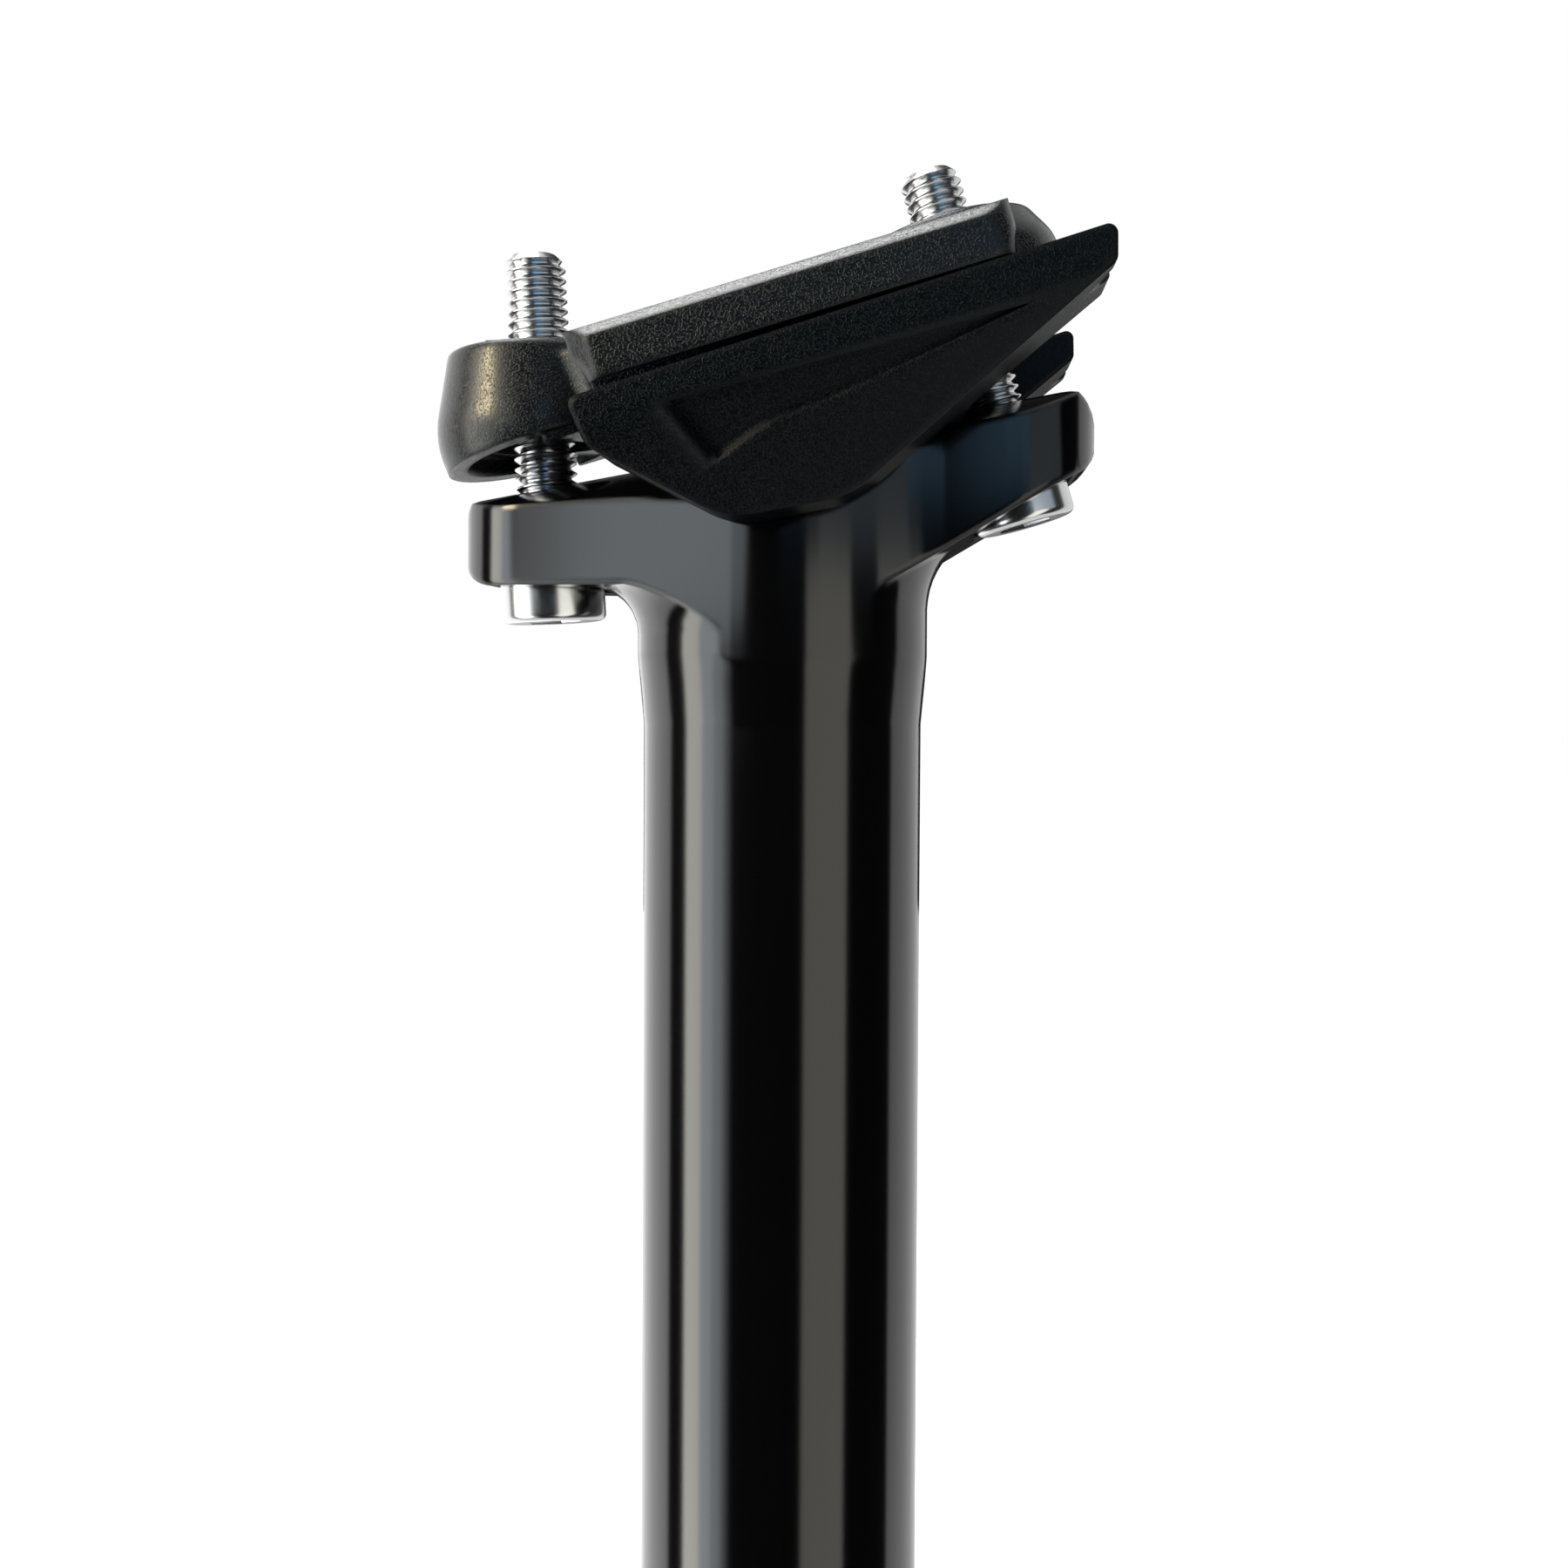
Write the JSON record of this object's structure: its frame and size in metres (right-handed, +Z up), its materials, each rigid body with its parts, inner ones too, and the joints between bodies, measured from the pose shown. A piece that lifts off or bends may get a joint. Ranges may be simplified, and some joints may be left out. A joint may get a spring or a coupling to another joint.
{
  "type": "bicycle seatpost",
  "caption": "Two-bolt bicycle seatpost: straight round tube, gloss black head with front and rear arms, and a tilting rail clamp that holds the saddle.",
  "frame": {"origin": "centre of the tube's lower end", "axes": "+Z up the tube to the clamp, +X to the rear of the bicycle, Y across it along the clamp's width"},
  "size_m": [0.0644, 0.0526, 0.3719],
  "materials": {
    "gloss_black": "gloss black clear-coated alloy",
    "cast_black": "matte black with fine cast grain",
    "plated_steel": "bright plated",
    "washer_steel": "plated, satin",
    "nut_steel": "plated, bright"
  },
  "bodies": {
    "post": {"post": "gloss_black"},
    "clamp": {"lower_cradle": "cast_black", "upper_clamp": "cast_black"},
    "front_bolt_set": {"front_bolt": "plated_steel", "front_washer": "washer_steel"},
    "rear_bolt_set": {"rear_bolt": "plated_steel", "rear_washer": "washer_steel"},
    "front_nut": {"front_barrel_nut": "nut_steel"},
    "rear_nut": {"rear_barrel_nut": "nut_steel"}
  },
  "joints": [
    {"name": "clamp_tilt", "type": "hinge", "parent": "post", "child": "clamp", "pos_m": [0, 0, 0.35], "axis": [0, 1, 0], "range_deg": [-3.5, 8]},
    {"name": "front_bolt_swivel", "type": "hinge", "parent": "post", "child": "front_bolt_set", "pos_m": [-0.02286, 0, 0.331], "axis": [0, 1, 0], "range_deg": [-0.5, 1]},
    {"name": "rear_bolt_swivel", "type": "hinge", "parent": "post", "child": "rear_bolt_set", "pos_m": [0.02282, 0, 0.34086], "axis": [0, 1, 0], "range_deg": [-1.5, 3]},
    {"name": "front_nut_turn", "type": "hinge", "parent": "clamp", "child": "front_nut", "pos_m": [-0.02403, 0, 0.35018], "axis": [0, 1, 0], "range_deg": [-8, 4]},
    {"name": "rear_nut_turn", "type": "hinge", "parent": "clamp", "child": "rear_nut", "pos_m": [0.01652, 0, 0.36255], "axis": [0, 1, 0], "range_deg": [-6, 3]}
  ],
  "couplings": [
    {"joint": "front_bolt_swivel", "follows": "clamp_tilt", "ratio": 0.08577},
    {"joint": "rear_bolt_swivel", "follows": "clamp_tilt", "ratio": 0.32948},
    {"joint": "front_nut_turn", "follows": "clamp_tilt", "ratio": -0.91423},
    {"joint": "rear_nut_turn", "follows": "clamp_tilt", "ratio": -0.67052}
  ]
}
